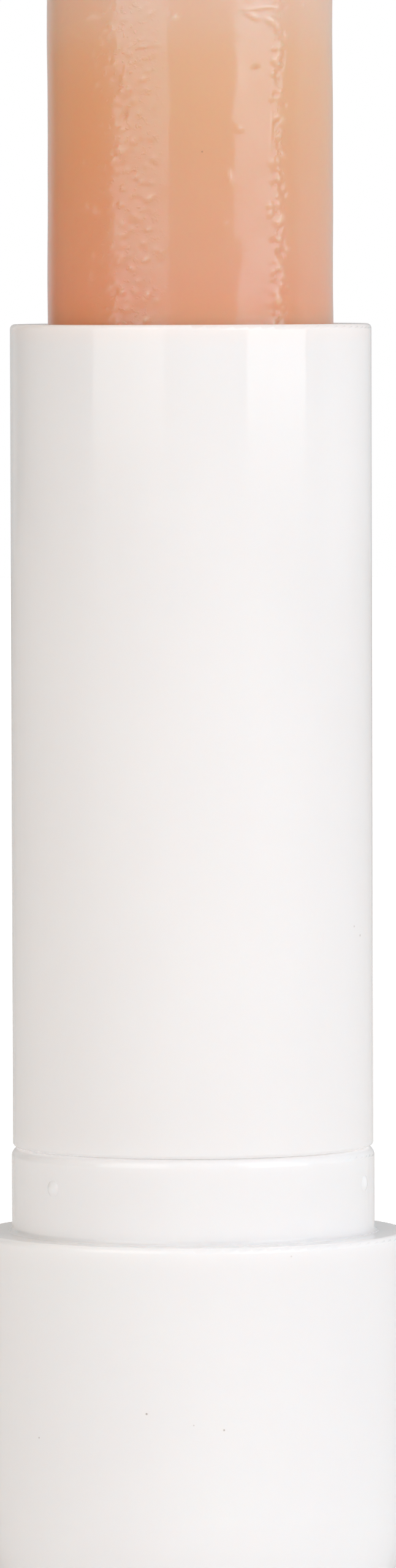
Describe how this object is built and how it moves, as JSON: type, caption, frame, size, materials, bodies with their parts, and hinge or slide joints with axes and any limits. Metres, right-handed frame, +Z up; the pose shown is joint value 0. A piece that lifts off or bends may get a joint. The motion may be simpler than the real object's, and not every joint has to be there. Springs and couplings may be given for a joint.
{
  "type": "lip balm stick",
  "caption": "Round twist-up lip balm stick, uncapped, with the balm wound out of a slim tube that turns on a wider base.",
  "frame": {"origin": "centre of the foot, on the plane that the stick stands on", "axes": "+Z up along the stick's axis towards the balm; the picture looks along +Y"},
  "size_m": [0.0175, 0.0174, 0.069],
  "materials": {
    "white_plastic": "smooth moulded gloss",
    "natural_plastic": "satin, as moulded",
    "balm": "waxy and slightly translucent, with fine ripples and dents"
  },
  "bodies": {
    "base": {"base_shell": "white_plastic", "spindle": "natural_plastic"},
    "tube": {"tube": "white_plastic"},
    "carrier": {"follower": "natural_plastic", "balm": "balm"}
  },
  "joints": [
    {"name": "tube_turn", "type": "hinge", "parent": "base", "child": "tube", "pos_m": [0, 0, 0.0205], "axis": [0, 0, 1], "range_deg": [-1620, 960]},
    {"name": "balm_lift", "type": "slide", "parent": "tube", "child": "carrier", "axis": [0, 0, 1], "range_m": [-0.016, 0.027]}
  ],
  "couplings": [
    {"joint": "balm_lift", "follows": "tube_turn", "m_per_rad": -0.00095493}
  ]
}
